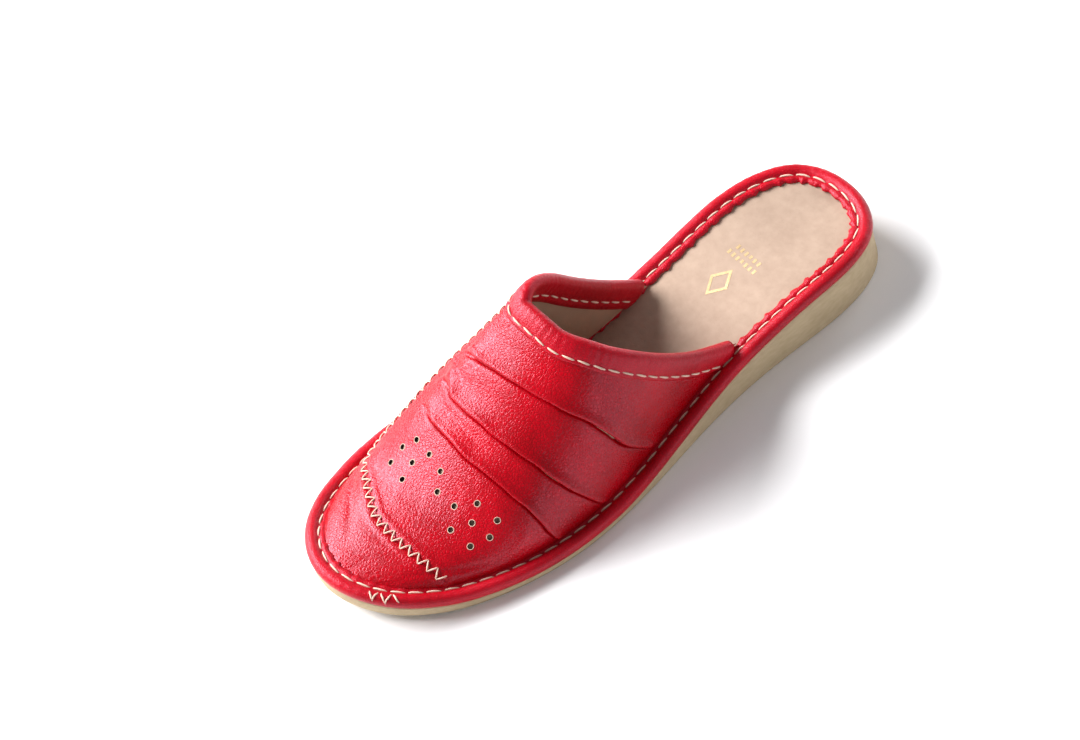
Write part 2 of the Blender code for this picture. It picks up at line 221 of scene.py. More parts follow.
def sides(inset, y):
    """Reach of the inset outline at y, on the big-toe side and on the little-toe side."""
    low, high, inner, outer = inset_branches(inset)
    angle = np.arccos(np.clip(1.0 - 2.0 * (y - low) / (high - low), -1.0, 1.0))
    return np.interp(angle, *inner), np.interp(angle, *outer)


def station(y):
    """Share of LENGTH from the heel."""
    return y / LENGTH + 0.5


def lift(y):
    """Height of the sole's lower edge off the floor."""
    return TOE_SPRING * along(SIDE, 2, station(y))


def rand_top(y):
    """Height of the rolled edge over the floor."""
    rise = HEEL_HEIGHT - FOREFOOT_HEIGHT
    return FOREFOOT_HEIGHT + rise * along(SIDE, 1, station(y)) + lift(y)


def last(across, y, inward=0.0):
    """Point on the last: across runs from -1 at the little-toe edge over 0 at the crest to +1."""
    low, high, _, _ = inset_branches(FEATHER_INSET + inward)
    s = station(y)
    inner, outer = sides(FEATHER_INSET + inward, y)
    foot = rand_top(y) - FEATHER_DROP
    nose = np.clip((s - NOSE_START) / (station(high) - NOSE_START), 0.0, 1.0)
    crest = INSTEP_HEIGHT * along(CREST, 2, s) - inward
    rise = (crest - foot) * (1.0 - nose ** NOSE_FULLNESS) ** (1.0 / NOSE_FULLNESS)
    ridge = BALL_WIDTH * along(CREST, 1, s)
    ridge = ridge + (0.5 * (inner + outer) - ridge) * nose ** 2
    full = np.where(across > 0.0, along(CREST, 3, s), along(CREST, 4, s))
    edge = np.where(across > 0.0, inner, outer)
    angle = 0.5 * np.pi * (1.0 - np.clip(np.abs(across), 1e-6, 1.0))
    reach = (np.cos(angle) ** full + np.sin(angle) ** full) ** (-1.0 / full)
    x = ridge + (edge - ridge) * reach * np.cos(angle)
    z = foot + rise * reach * np.sin(angle)
    return np.stack(np.broadcast_arrays(x, y, z), axis=-1)


def row_at(row, across):
    """Y of a row across the upper."""
    return (along(tuple(zip(ACROSS, row)), 1, across) - 0.5) * LENGTH


def unit(v):
    """Vectors brought to length one."""
    return v / np.maximum(np.linalg.norm(v, axis=-1, keepdims=True), 1e-9)


def off_last(across, y, inward=0.0):
    """Point on the last and the two slopes there, by across and by y, and the outward normal."""
    point = last(across, y, inward)
    da = np.where(np.asarray(across) > 0.98, -0.004, 0.004)
    by_across = (last(across + da, y, inward) - point) / np.expand_dims(da, -1)
    by_y = (last(across, y + 0.2, inward) - last(across, y - 0.2, inward)) / 0.4
    return point, by_across, by_y, unit(np.cross(by_across, by_y))


def wave(t, seed, octaves=5, base=1.0):
    """Smooth wandering value about 0: a sum of sines whose lengths halve, with fixed phases."""
    rng = np.random.default_rng(seed)
    total = np.zeros_like(np.asarray(t, float))
    for k in range(octaves):
        total = total + np.sin(base * 2.0 ** k * 1.07 * t + rng.uniform(0.0, 6.28)) / 1.7 ** k
    return total / 2.0


def near_line(u, v, ends):
    """Distance from points to a straight line between two ends, and the share of the way along it."""
    a = np.array(ends[:2])
    b = np.array(ends[2:])
    d = b - a
    t = np.clip(((u - a[0]) * d[0] + (v - a[1]) * d[1]) / (d @ d), 0.0, 1.0)
    return np.hypot(u - a[0] - t * d[0], v - a[1] - t * d[1]), t


def relief(across, y):
    """Height of the listed creases over the last: soft ridges and troughs that fade at their ends."""
    u = across * HALF_GIRTH
    v = y
    total = 0.28 * wave(u * 0.11 + v * 0.05, 3) * wave(v * 0.10 - u * 0.03, 8)
    for a0, s0, a1, s1, width, height in CREASES:
        ends = (a0 * HALF_GIRTH, (s0 - 0.5) * LENGTH, a1 * HALF_GIRTH, (s1 - 0.5) * LENGTH)
        distance, t = near_line(u, v, ends)
        total = total + height * np.exp(-(distance / width) ** 2) * (0.35 + 0.65 * np.sin(np.pi * t))
    return total * np.clip((1.0 - np.abs(across)) / 0.05, 0.0, 1.0)


def mesh_object(name, points, faces, smooth=True):
    """One object from points in millimetres and faces as index arrays."""
    mesh = bpy.data.meshes.new(name)
    mesh.from_pydata((points.reshape(-1, 3) * 0.001).tolist(), [], faces)
    mesh.update()
    if smooth:
        mesh.polygons.foreach_set("use_smooth", np.ones(len(mesh.polygons), bool))
    thing = bpy.data.objects.new(name, mesh)
    bpy.context.scene.collection.objects.link(thing)
    return thing


def quads(rows, columns, start=0, close_rows=False, close_columns=False, flip=False):
    """Quads of a grid of points stored row by row."""
    r = np.arange(rows if close_rows else rows - 1)[:, None]
    c = np.arange(columns if close_columns else columns - 1)[None, :]
    a = start + r * columns + c
    b = start + r * columns + (c + 1) % columns
    d = start + ((r + 1) % rows) * columns + c
    e = start + ((r + 1) % rows) * columns + (c + 1) % columns
    ring = (a, d, e, b) if flip else (a, b, e, d)
    return np.stack([np.broadcast_to(k, a.shape).ravel() for k in ring], axis=1)


def tuck_rows(across, row, seed):
    """Rows through one tuck: y and height of each, its lip fading out towards the big-toe side."""
    fade = np.clip((0.30 - across) / 0.22, 0.0, 1.0) ** 0.7 * np.clip((across + 1.0) / 0.05, 0.25, 1.0)
    bold = 0.85 + 0.3 * wave(across * 6.0, seed + 40, 3)
    line = row_at(row, across) + 0.45 * wave(across * 9.0, seed, 3)
    section = np.array(TUCK_SECTION)
    way = np.linspace(section[0, 0], section[-1, 0], len(section))[:, None]
    y = line + way + (section[:, :1] - way) * fade
    return y, section[:, 1:] * fade * bold


def skin_rows(across):
    """Rows of the vamp from the topline to the nose: y and height over the last."""
    _, high, _, _ = inset_branches(FEATHER_INSET)
    ys = []
    hs = []
    before = row_at(TOPLINE, across)
    before_height = np.zeros_like(across)
    for row, span, seed in ((REAR_TUCK, 34, 1), (MID_TUCK, 20, 2), (FRONT_TUCK, 15, 5)):
        y, h = tuck_rows(across, row, seed)
        t = np.arange(span)[:, None] / span
        ys.append(before + (y[0] - before) * t)
        hs.append(before_height * (1 - t) ** 3 + h[0] * t ** 3)
        ys.append(y[:-1])
        hs.append(h[:-1])
        before = y[-1]
        before_height = h[-1]
    t = np.sin(0.5 * np.pi * np.linspace(0.0, 1.0, 150))[:-1, None]
    ys.append(before + (high - before) * t)
    hs.append(np.zeros_like(ys[-1]))
    return np.vstack(ys), np.vstack(hs)


def ring_round(row, column, reach):
    """Rows and columns of the points on the square border that lies reach points out from one point."""
    k = np.arange(2 * reach)
    still = np.full(2 * reach, reach)
    rows = np.concatenate((-still, k - reach, still, reach - k))
    columns = np.concatenate((k - reach, still, reach - k, -still))
    return row + rows, column + columns


def punch(points, normals, faces, centres):
    """Opens a round hole at each centre: the border of four by four faces is brought to a circle, the
    points about it ease outward, and the faces inside are left out. Returns the rings."""
    rows, columns = points.shape[:2]
    keep = np.ones((rows - 1, columns - 1), bool)
    rings = []
    for centre in centres:
        away = np.linalg.norm(points - centre, axis=-1)
        r, c = np.unravel_index(away.argmin(), away.shape)
        border = ring_round(r, c, HOLE_REACH)
        ring = points[border]
        middle = ring.mean(axis=0)
        axis = normals[r, c]
        flat = ring - middle
        flat -= (flat @ axis)[:, None] * axis
        first = unit(flat[0])
        second = np.cross(axis, first)
        sense = np.sign(flat[2 * HOLE_REACH] @ second)
        for grow, share in ((0, 1.0), (1, 0.5), (2, 0.12)):
            edge = ring_round(r, c, HOLE_REACH + grow)
            old = points[edge]
            turn = np.linspace(0.0, 2.0 * np.pi, len(old), endpoint=False)
            circle = np.cos(turn)[:, None] * first + sense * np.sin(turn)[:, None] * second
            radius = HOLE_RADIUS + 0.55 * grow
            height = ((old - middle) @ axis)[:, None] * axis
            goal = middle + circle * radius + height
            points[edge] = old + (goal - old) * share
        keep[r - HOLE_REACH:r + HOLE_REACH, c - HOLE_REACH:c + HOLE_REACH] = False
        rings.append((points[border], axis.copy(), middle))
    return faces.reshape(rows - 1, columns - 1, 4)[keep], rings


def vamp_skin(columns=230):
    """Outside of the upper with its tucks, creases and punched holes, and the cut edges of the holes, whose
    lower walls and floors carry a near-black painted shade.
    """
    t = np.linspace(-1.0, 1.0, columns)
    across = np.sign(t) * (1.0 - (1.0 - np.abs(t)) ** 1.1)
    y, height = skin_rows(across)
    grid = np.broadcast_to(across, y.shape)
    base, _, _, normal = off_last(grid, np.minimum(y, y.max() - 0.02))
    base = last(grid, y)
    points = base + normal * (height + relief(grid, y))[..., None]
    away = seam_distance(grid, y)
    seam_depth = -0.45 * np.exp(-(away / 0.55) ** 2)
    seam_depth += 0.30 * np.exp(-((away - 2.4) / 1.3) ** 2)
    points = points + normal * seam_depth[..., None]
    spots = np.array(HOLES)
    centres = last(spots[:, 0], (spots[:, 1] - 0.5) * LENGTH)
    faces, rings = punch(points, normal, quads(len(y), columns), centres)
    skin = mesh_object("vamp", points, faces.tolist())
    verts = []
    walls = []
    for ring, axis, middle in rings:
        start = len(verts)
        for share, height in HOLE_WALL:
            verts += list(middle + (ring - middle) * share + axis * height)
        walls += quads(len(HOLE_WALL), len(ring), start, close_columns=True).tolist()
        walls.append(list(range(len(verts) - len(ring), len(verts))))
    edges = mesh_object("hole_edges_and_shade", np.array(verts), walls)
    # The two lowest bands of each hole wall and its floor take the second slot, the near-black painted
    # shade
    band = np.tile(np.append(np.repeat([0, 0, 1, 1], 8 * HOLE_REACH), 1), len(rings))
    edges.data.polygons.foreach_set("material_index", band.astype(np.int32))
    return skin, edges


def seam_points(count=700):
    """Seam line across and by y, resampled evenly along its real length."""
    rows = np.array(SEAM)
    k = np.arange(len(rows))
    fine = np.linspace(0.0, len(rows) - 1.0, count)
    i = np.clip(fine.astype(int), 0, len(rows) - 2)
    t = (fine - i)[:, None]
    ends = np.vstack((2 * rows[0] - rows[1], rows, 2 * rows[-1] - rows[-2]))
    p0, p1, p2, p3 = ends[i], ends[i + 1], ends[i + 2], ends[i + 3]
    curve = 0.5 * (2 * p1 + (p2 - p0) * t + (2 * p0 - 5 * p1 + 4 * p2 - p3) * t ** 2
                   + (3 * p1 - p0 - 3 * p2 + p3) * t ** 3)
    return curve[:, 0], (curve[:, 1] - 0.5) * LENGTH


def seam_distance(across, y):
    """Distance of points of the upper from the seam line, in millimetres."""
    a, v = seam_points(60)
    line = last(a, v)
    points = last(across, y)
    best = np.full(points.shape[:-1], 1e9)
    for p, q in zip(line[:-1], line[1:]):
        d = q - p
        t = np.clip((points - p) @ d / (d @ d), 0.0, 1.0)
        best = np.minimum(best, np.linalg.norm(points - p - t[..., None] * d, axis=-1))
    return best


def way_along(curve):
    """Length along a curve up to each of its points."""
    return np.concatenate(([0.0], np.cumsum(np.linalg.norm(np.diff(curve, axis=0), axis=1))))


def tubes(name, paths, radius, facets=7):
    """Round cords along paths given as one array, cords by points by xyz, drawn thinner at both ends."""
    ahead = unit(np.gradient(paths, axis=1))
    reference = np.where(np.abs(ahead[..., 2:]) > 0.9, np.array([1.0, 0.0, 0.0]), np.array([0.0, 0.0, 1.0]))
    across = unit(np.cross(ahead, reference))
    up = np.cross(across, ahead)
    count, length = paths.shape[:2]
    slim = np.sin(np.pi * np.clip(np.linspace(0.08, 0.92, length), 0.0, 1.0)) ** 0.35
    turn = np.linspace(0.0, 2.0 * np.pi, facets, endpoint=False)
    ring = np.cos(turn)[:, None] * across[:, :, None] + np.sin(turn)[:, None] * up[:, :, None]
    points = paths[:, :, None] + ring * (radius * slim)[None, :, None, None]
    faces = [quads(length, facets, k * length * facets, close_columns=True) for k in range(count)]
    return mesh_object(name, points, np.vstack(faces).tolist())


def running_stitch(name, curve, normal, pitch, share, radius=0.40, closed=False, depth=0.35):
    """Stitches of even pitch along a curve: each rises out of the leather, lies on it and dips back."""
    if closed:
        curve = np.vstack((curve, curve[:1]))
        normal = np.vstack((normal, normal[:1]))
    way = way_along(curve)
    count = int(way[-1] / pitch)
    pitch = way[-1] / count
    rng = np.random.default_rng(len(name))
    start = (np.arange(count) + 0.5 * (1.0 - share)) * pitch + rng.uniform(-0.12, 0.12, count)
    t = np.linspace(0.0, 1.0, 9)
    at = start[:, None] + t * pitch * share
    place = np.stack([np.interp(at, way, curve[:, k]) for k in range(3)], axis=-1)
    up = unit(np.stack([np.interp(at, way, normal[:, k]) for k in range(3)], axis=-1))
    arch = np.sin(np.pi * t) ** 0.5 * (depth + 0.12) - depth
    side = unit(np.cross(np.gradient(place, axis=1), up))
    lean = np.linspace(-0.18, 0.18, 9)
    return tubes(name, place + up * arch[:, None] + side * lean[:, None], radius)


def march(across, distance, steps, tangent):
    """Places met going square off the topline over the last, a given distance in equal steps."""
    a = across.copy()
    y = row_at(TOPLINE, across)
    places = [(a, y)]
    stride = distance / steps
    for _ in range(steps):
        _, by_across, by_y, normal = off_last(a, y)
        square = unit(np.cross(normal, tangent))
        square *= np.sign((square * by_y).sum(-1, keepdims=True))
        aa = (by_across ** 2).sum(-1)
        ay = (by_across * by_y).sum(-1)
        yy = (by_y ** 2).sum(-1)
        ra = (by_across * square).sum(-1) * stride
        ry = (by_y * square).sum(-1) * stride
        det = aa * yy - ay ** 2
        a = np.clip(a + (ra * yy - ry * ay) / det, -0.995, 0.995)
        y = y + (ry * aa - ra * ay) / det
        places.append((a, y))
    return places


def topline_tangent(across):
    """Direction along the topline."""
    ahead = last(across + 0.008, row_at(TOPLINE, across + 0.008))
    behind = last(across - 0.008, row_at(TOPLINE, across - 0.008))
    return unit(ahead - behind)


# Section of the collar binding over the topline and down the inside: way down from the topline, height
# over that side of the upper, share of the gathers
BINDING_OUTSIDE = (
    (8.0, 0.25, 0.0), (8.2, 0.75, 0.4), (7.8, 1.15, 0.8), (7.0, 1.25, 0.8), (6.5, 0.95, 0.3),
    (6.0, 1.20, 0.8), (5.0, 1.50, 1.2), (4.0, 1.65, 1.5), (3.0, 1.75, 1.6), (2.0, 1.85, 1.8),
    (1.0, 1.85, 1.9), (0.0, 1.65, 2.0), (-0.9, 1.15, -2.0), (-1.6, 0.30, -2.0), (-1.9, -0.80, -1.6),
    (-1.7, -1.90, -1.4), (-1.0, -2.90, -1.2),
)
BINDING_INSIDE = (
    (0.0, -1.35, -1.2), (1.0, -1.45, -1.0), (2.5, -1.45, -1.0), (4.0, -1.35, -0.8), (5.5, -1.20, -0.6),
    (6.0, -0.90, -0.2), (6.5, -1.15, -0.6), (8.0, -1.15, -0.8), (9.5, -1.00, -0.6), (10.0, -0.30, 0.0),
)
BINDING_REACH = 10.0
STEPS_A_MM = 2
OUTER_SEAM = 6.5
INNER_SEAM = 6.0
COLLAR_PITCH = 5.9


def collar_strip(count=300):
    """Binding folded over the topline, puffed at its edge and gathered by its stitches."""
    across = np.linspace(-0.965, 0.965, count)
    tangent = topline_tangent(across)
    steps = int(BINDING_REACH * STEPS_A_MM)
    places = march(across, BINDING_REACH, steps, tangent)
    way = way_along(last(across, row_at(TOPLINE, across)))
    gathers = 0.03 * wave(way * 0.9, 21, 3) + 0.05 * wave(way * 2.1, 22, 4)

    def at(down, out, inside=False):
        k = min(int(round(max(down, 0.0) * STEPS_A_MM)), steps)
        a, y = places[k]
        point, _, by_y, normal = off_last(a, y)
        if inside:
            point = last(a, y, WALL)
        square = unit(np.cross(normal, tangent))
        square *= np.sign((square * by_y).sum(-1, keepdims=True))
        return point + normal * np.asarray(out)[..., None] + square * min(down, 0.0)

    rows = [at(down, out + share * gathers) for down, out, share in BINDING_OUTSIDE]
    rows += [at(down, out + share * gathers, inside=True) for down, out, share in BINDING_INSIDE]
    points = np.stack(rows, axis=1)
    size = points.shape[1]
    faces = quads(count, size, close_columns=True, flip=True).tolist()
    faces.append(list(range(size)))
    faces.append(list(range((count - 1) * size, count * size))[::-1])
    strip = mesh_object("collar_strip", points, faces)
    outer = at(OUTER_SEAM, np.full(count, 1.15))
    _, _, _, up = off_last(*places[int(OUTER_SEAM * STEPS_A_MM)])
    inner = at(INNER_SEAM, np.full(count, -1.1), inside=True)
    _, _, _, back = off_last(*places[int(INNER_SEAM * STEPS_A_MM)], WALL)
    between = slice(4, -4)
    one = running_stitch("collar_thread", outer[between], up[between], COLLAR_PITCH, 0.80)
    two = running_stitch("facing_thread", inner[between], -back[between], COLLAR_PITCH, 0.78)
    return strip, one, two


def lining_skin():
    """Inside of the upper, one plain sheet."""
    across = np.linspace(-1.0, 1.0, 90)
    _, high, _, _ = inset_branches(FEATHER_INSET + LINING_DEPTH)
    top = row_at(TOPLINE, across) + 0.4
    t = np.sin(0.5 * np.pi * np.linspace(0.0, 1.0, 90))[:-1, None]
    y = top + (high - top) * t
    grid = np.broadcast_to(across, y.shape)
    points = last(grid, y, LINING_DEPTH)
    _, _, _, normal = off_last(grid, np.minimum(y, high - 0.5), LINING_DEPTH)
    sway = 0.25 * wave(grid * 14.0 + y * 0.12, 51) * np.clip(1 - np.abs(grid), 0, 0.3)
    points = points + normal * sway[..., None]
    return mesh_object("lining", points, quads(*y.shape, flip=True).tolist())


# Section of the rolled edge with the strip inside its seam: inset from the outline, height over its top
ROLL = (
    (2.20, -5.00), (1.10, -4.75), (0.35, -4.10), (0.02, -3.30), (0.00, -2.40), (0.18, -1.60),
    (0.55, -0.95), (1.10, -0.42), (1.80, -0.10), (2.60, 0.00), (3.40, -0.08), (4.10, -0.35),
    (4.70, -0.85), (5.10, -1.35), (5.40, -1.60), (5.75, -1.40), (6.20, -1.10), (6.80, -1.05),
    (7.40, -1.20), (7.90, -1.45), (8.30, -1.85), (8.40, -2.40), (8.10, -2.75), (5.00, -2.90),
)
STITCH_INSET = 5.4
STITCH_PITCH = 6.5


def edge_roll(count=760):
    """Rolled edge swept round the outline, gathered by its stitches; returns it and its thread."""
    k = np.linspace(0, len(OUTLINE), count, endpoint=False)
    i = k.astype(int)
    curve = OUTLINE[i]
    normal = OUTWARD[i]
    way = way_along(curve)
    inset, drop = np.array(ROLL).T
    gather = np.cos(2.0 * np.pi * way / STITCH_PITCH)
    slow = wave(way * 0.16, 61, 3)
    quick = wave(way * 1.4, 62, 4)
    bead = np.exp(-((inset - 1.6) / 2.0) ** 2) * (drop > -4.0)
    ditch = np.exp(-((inset - STITCH_INSET) / 0.8) ** 2)
    strip = np.clip((inset - 6.0) / 1.5, 0.0, 1.0) * (drop > -2.0)
    out = bead * (0.10 * slow + 0.07 * quick)[:, None]
    shift = np.where(inset > 8.0, 1.0, 0.0) * (0.40 * gather + 0.35 * quick)[:, None]
    height = drop + out + ditch * (0.15 * gather)[:, None]
    height = height + strip * (0.18 * gather + 0.16 * quick)[:, None]
    place = curve[:, None] - normal[:, None] * (inset + shift - 0.6 * out)[..., None]
    z = rand_top(curve[:, 1])[:, None] + height
    points = np.concatenate((place, z[..., None]), axis=-1)
    faces = quads(count, len(ROLL), close_rows=True, close_columns=True)
    roll = mesh_object("edge_roll", points, faces.tolist())
    line = curve - normal * STITCH_INSET
    path = np.column_stack((line, rand_top(curve[:, 1]) - 1.30))
    up = np.zeros_like(path)
    up[:, 2] = 1.0
    thread = running_stitch("edge_thread", path, up, STITCH_PITCH, 0.80, closed=True)
    return roll, thread


ZIGZAG_STEP = 2.15
ZIGZAG_HALF = 1.9


def seam_thread():
    """Zigzag thread over the panel seam, each leg one stitch."""
    a, y = seam_points(900)
    point, _, _, normal = off_last(a, y)
    way = way_along(point)
    count = int(way[-1] / ZIGZAG_STEP)
    stops = np.linspace(0.6, way[-1] - 0.6, count)
    centre = np.stack([np.interp(stops, way, point[:, k]) for k in range(3)], axis=-1)
    up = unit(np.stack([np.interp(stops, way, normal[:, k]) for k in range(3)], axis=-1))
    ahead = unit(np.gradient(centre, axis=0))
    side = unit(np.cross(up, ahead))
    half = ZIGZAG_HALF + 0.12 * wave(stops, 71, 3)
    corner = centre + side * (half * np.where(np.arange(count) % 2, 1.0, -1.0))[:, None]
    return legs("seam_thread", corner, up)


def legs(name, corner, up, radius=0.33):
    """One stitch from each corner to the next, arched over the leather."""
    t = np.linspace(0.0, 1.0, 8)
    a = corner[:-1, None]
    b = corner[1:, None]
    rise = 0.5 * (up[:-1] + up[1:])[:, None]
    arch = (np.sin(np.pi * t) ** 0.5 * 0.65 - 0.10)[:, None]
    return tubes(name, a + (b - a) * t[:, None] + rise * arch, radius, 6)


def on_roll(x, inset):
    """Point on the rolled edge near the toe, at a given x of the outline and inset from it."""
    front = np.flatnonzero(OUTLINE[:, 1] > 60.0)
    away = np.abs(OUTLINE[front, 0][None, :] - x.reshape(-1, 1))
    k = front[away.argmin(axis=1)].reshape(x.shape)
    place = OUTLINE[k] - OUTWARD[k] * inset[..., None]
    crown = np.array(ROLL)[4:15]
    z = rand_top(place[..., 1]) + np.interp(inset, crown[:, 0], crown[:, 1])
    return np.concatenate((place, z[..., None]), axis=-1)


# Corners of the short zigzag at the toe: x of the outline, inset from it
JOINT_CORNERS = ((-15.0, 4.7), (-16.8, 0.3), (-18.6, 4.6), (-20.6, 0.2), (-22.4, 4.2), (-24.0, 0.8))


def edge_joint():
    """Short zigzag over the joint of the rolled edge at the toe."""
    corners = np.array(JOINT_CORNERS)
    t = np.linspace(0.0, 1.0, 9)
    way = corners[:-1, None] + (corners[1:] - corners[:-1])[:, None] * t[:, None]
    path = on_roll(way[..., 0], way[..., 1])
    rise = 0.62 * np.sin(np.pi * t) ** 0.3 - 0.05
    path = path + np.array([-0.1, 0.35, 0.93]) * rise[:, None]
    return tubes("edge_joint_thread", path, 0.36, 6)


def sock_height(y, share):
    """Height of the sock at y and a share of its width: it dips a little along its middle."""
    return rand_top(y) - SOCK_DROP - SOCK_DIP * np.sin(np.pi * share) ** 2


# Foil ornament on the sock: its place, half width and half height of the lozenge, width of its frame as a
# share, and each row of bars as place and count
FOIL_PLACE = (0.5, -62.0)
LOZENGE = (4.6, 7.0)
FRAME_SHARE = 0.72
BAR_ROWS = ((-11.5, 7), (-15.0, 6))
BAR_PITCH = 2.3
BAR_HALF = 0.55


def foil_mark():
    """Plain foil ornament on the sock: a lozenge frame over two rows of short bars."""
    wide, tall = LOZENGE
    tips = np.array(((0.0, tall), (wide, 0.0), (0.0, -tall), (-wide, 0.0)))
    shapes = []
    for a, b in zip(tips, np.roll(tips, -1, axis=0)):
        shapes.append((a, b, b * FRAME_SHARE, a * FRAME_SHARE))
    for row, count in BAR_ROWS:
        for k in range(count):
            x = (k - 0.5 * (count - 1)) * BAR_PITCH
            left = x - BAR_HALF
            right = x + BAR_HALF
            top = row + (1.0 if (k * 3 + count) % 4 else 0.6)
            shapes.append(((left, top), (right, top), (right, row - 1.0), (left, row - 1.0)))
    flat = np.array(shapes).reshape(-1, 2) + FOIL_PLACE
    x, y = flat.T
    inner, outer = sides(SOCK_INSET, y)
    points = np.column_stack((x, y, sock_height(y, (x - outer) / (inner - outer)) + 0.06))
    faces = np.arange(len(flat)).reshape(-1, 4)[:, ::-1]
    return mesh_object("foil_mark", points, faces.tolist(), False)


def leaf(name, inset, height, rows=170, columns=40, flip=False):
    """Sheet over the inset outline at a given height, on rows from heel to toe."""
    low, high, _, _ = inset_branches(inset)
    y = 0.5 * (low + high) - 0.5 * (high - low) * np.cos(np.linspace(0.02, np.pi - 0.02, rows))
    inner, outer = sides(inset, y)
    t = 0.5 - 0.5 * np.cos(np.linspace(0.0, np.pi, columns))
    x = outer[:, None] + (inner - outer)[:, None] * t
    yy = np.broadcast_to(y[:, None], x.shape)
    z = height(yy, t[None, :])
    return mesh_object(name, np.stack((x, yy, z), axis=-1), quads(rows, columns, flip=flip).tolist())


def sole_wall(count=700):
    """Foam wedge: side wall swept round the outline, eased at its lower edge, spreading at the heel."""
    i = np.linspace(0, len(OUTLINE), count, endpoint=False).astype(int)
    curve = OUTLINE[i]
    normal = OUTWARD[i]
    y = curve[:, 1]
    top = rand_top(y) - FOAM_DROP
    bottom = lift(y)
    flare = 1.3 * np.clip((30.0 - y) / 110.0, 0.12, 1.0)
    tall = top - bottom
    rows = [(9.0, top, 0.0), (1.2, top, 0.0), (0.85, top - 0.25, 0.0)]
    for share in (0.2, 0.4, 0.6, 0.8):
        rows.append((0.8, top - tall * share, share))
    rows += [(0.8, bottom + 0.7, 1.0), (1.0, bottom + 0.2, 1.0), (1.6, bottom, 1.0), (9.0, bottom, 1.0)]
    points = []
    for inset, z, share in rows:
        place = curve - normal * (inset - flare * share)[:, None]
        points.append(np.column_stack((place, z)))
    points = np.stack(points, axis=1)
    return mesh_object("sole_wall", points, quads(count, len(rows), close_rows=True, flip=True).tolist())


vamp, hole_edges_and_shade = vamp_skin()
lining = lining_skin()
collar, collar_thread, facing_thread = collar_strip()
roll, edge_thread = edge_roll()
zigzag = seam_thread()
joint_zigzag = edge_joint()
sock = leaf("sock", SOCK_INSET, sock_height, columns=60)
foil = foil_mark()
wall = sole_wall()
tread = leaf("sole_under", 8.5, lambda y, share: lift(y), columns=8, flip=True)


class Shade:
    """A value in a material. Arithmetic on it adds Math nodes."""

    def __init__(self, book, socket):
        self.book = book
        self.socket = socket

    def math(self, kind, other):
        return self.book.node("ShaderNodeMath", {"operation": kind}, {0: self, 1: other})

    def __add__(self, other):
        return self.math("ADD", other)

    __radd__ = __add__

    def __mul__(self, other):
        return self.math("MULTIPLY", other)

    def __sub__(self, other):
        return self.math("SUBTRACT", other)

    def __rsub__(self, other):
        return (self * -1.0) + other

    def clamp(self):
        return self.math("MINIMUM", 1.0).math("MAXIMUM", 0.0)

    def step(self, low, high):
        """0 below low, 1 above high and smooth between."""
        settings = {"interpolation_type": "SMOOTHSTEP"}
        return self.book.node("ShaderNodeMapRange", settings, {0: self, 1: low, 2: high, 3: 0.0, 4: 1.0})


class Book:
    def __init__(self, name):
        self.material = bpy.data.materials.new(name)
        self.material.use_nodes = True
        self.tree = self.material.node_tree
        self.shader = self.tree.nodes["Principled BSDF"]

    def node(self, kind, settings=None, sockets=None, output=0):
        item = self.tree.nodes.new(kind)
        for key, value in (settings or {}).items():
            setattr(item, key, value)
        for key, value in (sockets or {}).items():
            self.put(item.inputs[key], value)
        return Shade(self, item.outputs[output])

    def put(self, target, value):
        if isinstance(value, Shade):
            self.tree.links.new(value.socket, target)
        elif isinstance(value, tuple) and len(target.default_value) == 4 and len(value) == 3:
            target.default_value = (*value, 1.0)
        else:
            target.default_value = value

    def where(self):
        return self.node("ShaderNodeTexCoord", output=3)

    def noise(self, scale, detail=3.0, rough=0.5, vector=None):
        sockets = {"Vector": vector or self.where(), "Scale": scale, "Detail": detail, "Roughness": rough}
        return self.node("ShaderNodeTexNoise", None, sockets)

    def cells(self, scale, feature="DISTANCE_TO_EDGE", vector=None):
        sockets = {"Vector": vector or self.where(), "Scale": scale, "Randomness": 1.0}
        return self.node("ShaderNodeTexVoronoi", {"feature": feature}, sockets)

    def mix(self, share, low, high):
        settings = {"data_type": "RGBA"}
        return self.node("ShaderNodeMix", settings, {0: share, 6: low, 7: high}, output=2)

    def bump(self, height, strength, distance):
        sockets = {"Height": height, "Strength": strength, "Distance": distance}
        return self.node("ShaderNodeBump", None, sockets)

    def finish(self, **values):
        for key, value in values.items():
            self.put(self.shader.inputs[key.replace("_", " ")], value)
        return self.material


def leather(name, deep, bright, grain, gloss, fine=1.0):
    """Glossy grained leather: pebbles split by shallow furrows, which are deeper in colour and duller."""
    book = Book(name)
    where = book.where()
    warp = book.noise(260.0, 2.0, vector=where)
    wander = book.node("ShaderNodeTexNoise", None, {"Vector": where, "Scale": 420.0}, output=1)
    shift = book.node("ShaderNodeVectorMath", {"operation": "MULTIPLY_ADD"},
                      {0: wander, 1: (0.0006, 0.0006, 0.0006), 2: where})
    pebble = book.cells(grain, vector=shift)
    small = book.cells(grain * 2.3, vector=shift)
    furrow = pebble.step(0.0, 0.26) * 0.8 + small.step(0.0, 0.22) * 0.2
    patch = book.noise(38.0, 3.0, vector=where)
    height = furrow * (0.45 + patch * 0.8) + warp * 0.3
    normal = book.bump(height, fine, 0.00016)
    tone = (patch.step(0.35, 0.7) * 0.5 + furrow * 0.5).clamp()
    colour = book.mix(tone, deep, bright)
    rough = gloss + (1.0 - furrow) * 0.14 + patch * 0.08
    return book.finish(Base_Color=colour, Roughness=rough, Normal=normal, Specular_IOR_Level=0.50,
                       Specular_Tint=(1.0, 0.52, 0.68, 1.0))


